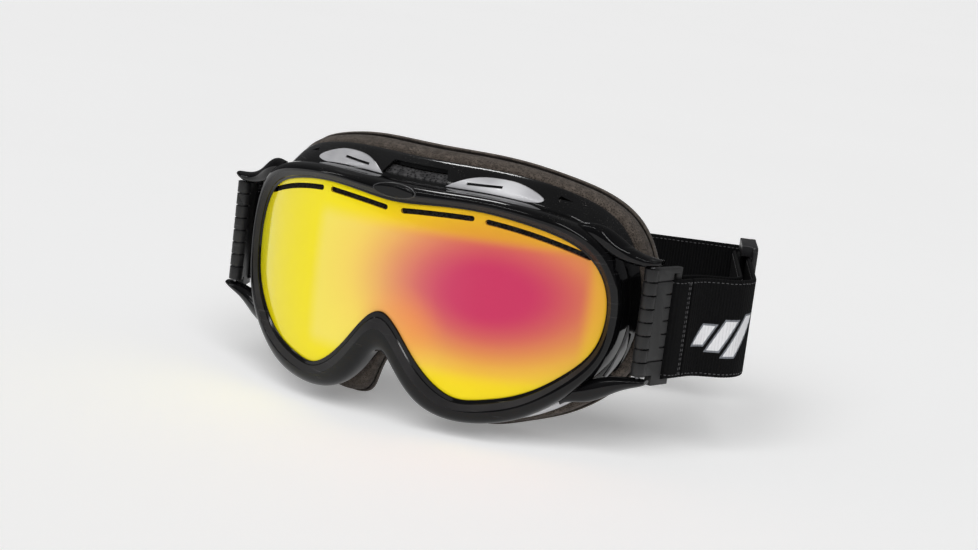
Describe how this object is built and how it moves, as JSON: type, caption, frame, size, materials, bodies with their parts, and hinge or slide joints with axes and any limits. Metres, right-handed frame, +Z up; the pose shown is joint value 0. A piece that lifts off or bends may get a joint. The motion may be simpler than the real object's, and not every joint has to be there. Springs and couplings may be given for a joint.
{
  "type": "goggles",
  "caption": "Wrap-around goggles with a mirrored double lens, vented gloss frame, foam face pad, hinged strap clips and an adjustable elastic strap.",
  "frame": {"origin": "middle of the face seat: the point midway between the eyes on the plane where the foam meets the face", "axes": "+X towards the viewer's right (the wearer's left), -Y forwards out through the lens, +Z up"},
  "size_m": [0.2343, 0.1632, 0.1117],
  "materials": {
    "frame_gloss": "high gloss injection moulded",
    "frame_satin": "satin flexible moulding",
    "trim_silver": "silver metallic paint",
    "trim_grey": "dark metallic grey paint",
    "badge_black": "gloss black, blank",
    "lens_mirror": "polycarbonate with a yellow to magenta mirror coating",
    "lens_clear": "clear acetate inner lens",
    "gasket_foam": "closed cell foam spacer",
    "vent_foam": "open cell reticulated foam",
    "face_foam": "dark brown open cell foam",
    "face_fleece": "dark brown brushed fleece",
    "pin_steel": "plain steel",
    "clip_satin": "satin moulded",
    "slider_satin": "satin moulded",
    "strap_webbing": "woven elastic webbing"
  },
  "bodies": {
    "goggle": {"frame_front": "frame_gloss", "upper_arm_right": "frame_gloss", "upper_arm_left": "frame_gloss", "lower_arm_right": "frame_gloss", "lower_arm_left": "frame_gloss", "frame_rear": "frame_satin", "side_vent_fin_right": "trim_grey", "side_vent_fin_left": "trim_grey", "top_vent_trim_right": "trim_silver", "top_vent_trim_left": "trim_silver", "bottom_vent_trim_right": "trim_silver", "bottom_vent_trim_left": "trim_silver", "brow_badge": "badge_black", "outer_lens": "lens_mirror", "inner_lens": "lens_clear", "lens_gasket": "gasket_foam", "lens_slot_foam": "vent_foam", "brow_vent_foam": "vent_foam", "side_vent_foam_right": "vent_foam", "side_vent_foam_left": "vent_foam", "cheek_vent_foam_right": "vent_foam", "cheek_vent_foam_left": "vent_foam", "face_foam": "face_foam", "face_fleece": "face_fleece", "clip_pin_right": "pin_steel", "clip_pin_left": "pin_steel", "strap_main": "strap_webbing", "strap_return": "strap_webbing"},
    "right_clip": {"strap_clip_right": "clip_satin", "strap_loop_right": "strap_webbing"},
    "left_clip": {"strap_clip_left": "clip_satin", "strap_loop_left": "strap_webbing"},
    "slider_body": {"slider": "slider_satin", "strap_sewn_end": "strap_webbing"}
  },
  "joints": [
    {"name": "right_clip_hinge", "type": "hinge", "parent": "goggle", "child": "right_clip", "pos_m": [0.098, -0.0026, -0.0115], "axis": [0, 0, 1], "range_deg": [-50, 20]},
    {"name": "left_clip_hinge", "type": "hinge", "parent": "goggle", "child": "left_clip", "pos_m": [-0.098, -0.0026, -0.0115], "axis": [0, 0, 1], "range_deg": [-20, 50]},
    {"name": "slider_slide", "type": "slide", "parent": "goggle", "child": "slider_body", "axis": [0.4045, -0.9146, 0], "range_m": [0, 0.032]}
  ]
}
